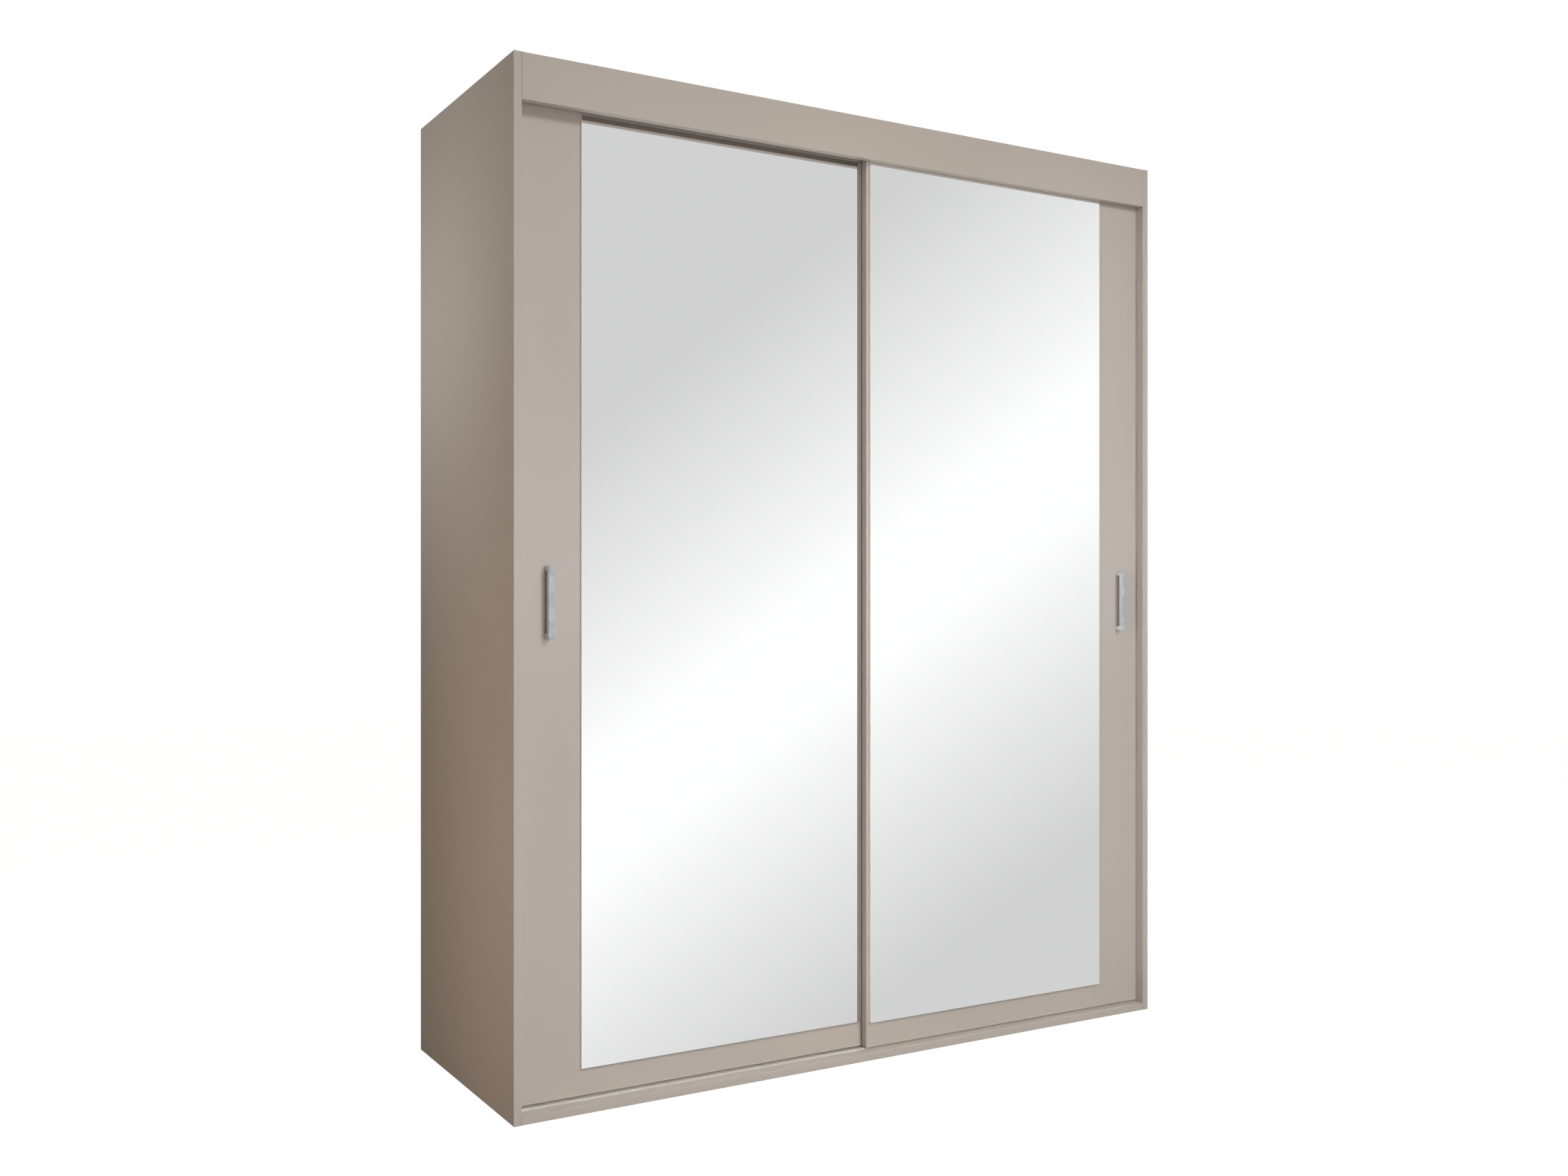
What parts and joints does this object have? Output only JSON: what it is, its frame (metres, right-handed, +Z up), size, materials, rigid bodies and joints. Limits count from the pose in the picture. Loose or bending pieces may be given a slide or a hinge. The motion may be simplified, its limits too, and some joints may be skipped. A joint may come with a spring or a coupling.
{
  "type": "sliding-door wardrobe",
  "caption": "Free-standing board wardrobe with sliding doors in two tracks, each with a tall mirror and a bar handle, over a hanging bay and a bay of shelves.",
  "frame": {"origin": "middle of the footprint, on the floor", "axes": "+X to the right as seen from the front, +Y towards the back, +Z up; the front faces -Y"},
  "size_m": [1.6, 0.56, 2],
  "materials": {
    "laminate": "warm grey melamine-faced chipboard, satin",
    "back_sheet": "lacquered hardboard sheet, matt",
    "mirror": "silvered float glass with a ground edge",
    "satin_metal": "satin nickel-grey lacquered metal",
    "track_metal": "champagne anodised, satin",
    "steel": "bright zinc-plated",
    "grey_plastic": "moulded, fine texture",
    "nylon": "natural nylon, slight sheen"
  },
  "bodies": {
    "carcass": {"side_panel_left": "laminate", "side_panel_right": "laminate", "top_panel": "laminate", "bottom_panel": "laminate", "top_fascia": "laminate", "centre_divider": "laminate", "hat_shelf_left": "laminate", "hat_shelf_right": "laminate", "shelf_1": "laminate", "shelf_2": "laminate", "shelf_3": "laminate", "shelf_4": "laminate", "back_panel_left": "back_sheet", "back_panel_right": "back_sheet", "back_joining_strip": "nylon", "rail_socket_left": "satin_metal", "rail_socket_right": "satin_metal", "bottom_track": "track_metal", "top_track": "track_metal", "hanging_rail": "steel", "shelf_pin_left_front": "steel", "shelf_pin_left_back": "steel", "shelf_pin_right_front": "steel", "shelf_pin_right_back": "steel", "front_door_stop": "grey_plastic", "rear_door_stop": "grey_plastic"},
    "rear_door": {"rear_door_board": "laminate", "rear_door_mirror": "mirror", "rear_door_handle": "satin_metal", "rear_handle_screw_bottom": "steel", "rear_handle_screw_top": "steel", "rear_door_roller_left_housing": "grey_plastic", "rear_door_roller_left_axle": "steel", "rear_door_guide_left_housing": "grey_plastic", "rear_door_guide_left_spring": "steel", "rear_door_roller_right_housing": "grey_plastic", "rear_door_roller_right_axle": "steel", "rear_door_guide_right_housing": "grey_plastic", "rear_door_guide_right_spring": "steel"},
    "front_door": {"front_door_board": "laminate", "front_door_mirror": "mirror", "front_door_handle": "satin_metal", "front_handle_screw_bottom": "steel", "front_handle_screw_top": "steel", "front_door_roller_left_housing": "grey_plastic", "front_door_roller_left_axle": "steel", "front_door_guide_left_housing": "grey_plastic", "front_door_guide_left_spring": "steel", "front_door_roller_right_housing": "grey_plastic", "front_door_roller_right_axle": "steel", "front_door_guide_right_housing": "grey_plastic", "front_door_guide_right_spring": "steel"},
    "rear_left_wheel": {"rear_door_roller_left_wheel": "nylon"},
    "rear_left_plunger": {"rear_door_guide_left_plunger": "nylon"},
    "rear_right_wheel": {"rear_door_roller_right_wheel": "nylon"},
    "rear_right_plunger": {"rear_door_guide_right_plunger": "nylon"},
    "front_left_wheel": {"front_door_roller_left_wheel": "nylon"},
    "front_left_plunger": {"front_door_guide_left_plunger": "nylon"},
    "front_right_wheel": {"front_door_roller_right_wheel": "nylon"},
    "front_right_plunger": {"front_door_guide_right_plunger": "nylon"}
  },
  "joints": [
    {"name": "rear_door_slide", "type": "slide", "parent": "carcass", "child": "rear_door", "axis": [1, 0, 0], "range_m": [0, 0.7]},
    {"name": "front_door_slide", "type": "slide", "parent": "carcass", "child": "front_door", "axis": [1, 0, 0], "range_m": [-0.7, 0]},
    {"name": "rear_left_wheel_spin", "type": "hinge", "parent": "rear_door", "child": "rear_left_wheel", "pos_m": [-0.723, -0.2288, 0.0313], "axis": [0, 1, 0], "continuous": true},
    {"name": "rear_left_plunger_press", "type": "slide", "parent": "rear_door", "child": "rear_left_plunger", "axis": [0, 0, 1], "range_m": [-0.01, 0], "stiffness_N_per_m": 200, "springref_m": 0.005, "deforming": ["rear_door_guide_left_spring"]},
    {"name": "rear_right_wheel_spin", "type": "hinge", "parent": "rear_door", "child": "rear_right_wheel", "pos_m": [-0.047, -0.2288, 0.0313], "axis": [0, 1, 0], "continuous": true},
    {"name": "rear_right_plunger_press", "type": "slide", "parent": "rear_door", "child": "rear_right_plunger", "axis": [0, 0, 1], "range_m": [-0.01, 0], "stiffness_N_per_m": 200, "springref_m": 0.005, "deforming": ["rear_door_guide_right_spring"]},
    {"name": "front_left_wheel_spin", "type": "hinge", "parent": "front_door", "child": "front_left_wheel", "pos_m": [0.064, -0.2505, 0.0313], "axis": [0, 1, 0], "continuous": true},
    {"name": "front_left_plunger_press", "type": "slide", "parent": "front_door", "child": "front_left_plunger", "axis": [0, 0, 1], "range_m": [-0.01, 0], "stiffness_N_per_m": 200, "springref_m": 0.005, "deforming": ["front_door_guide_left_spring"]},
    {"name": "front_right_wheel_spin", "type": "hinge", "parent": "front_door", "child": "front_right_wheel", "pos_m": [0.723, -0.2505, 0.0313], "axis": [0, 1, 0], "continuous": true},
    {"name": "front_right_plunger_press", "type": "slide", "parent": "front_door", "child": "front_right_plunger", "axis": [0, 0, 1], "range_m": [-0.01, 0], "stiffness_N_per_m": 200, "springref_m": 0.005, "deforming": ["front_door_guide_right_spring"]}
  ],
  "couplings": [
    {"joint": "rear_left_wheel_spin", "follows": "rear_door_slide", "rad_per_m": 86.957},
    {"joint": "rear_right_wheel_spin", "follows": "rear_door_slide", "rad_per_m": 86.957},
    {"joint": "front_left_wheel_spin", "follows": "front_door_slide", "rad_per_m": 86.957},
    {"joint": "front_right_wheel_spin", "follows": "front_door_slide", "rad_per_m": 86.957}
  ]
}
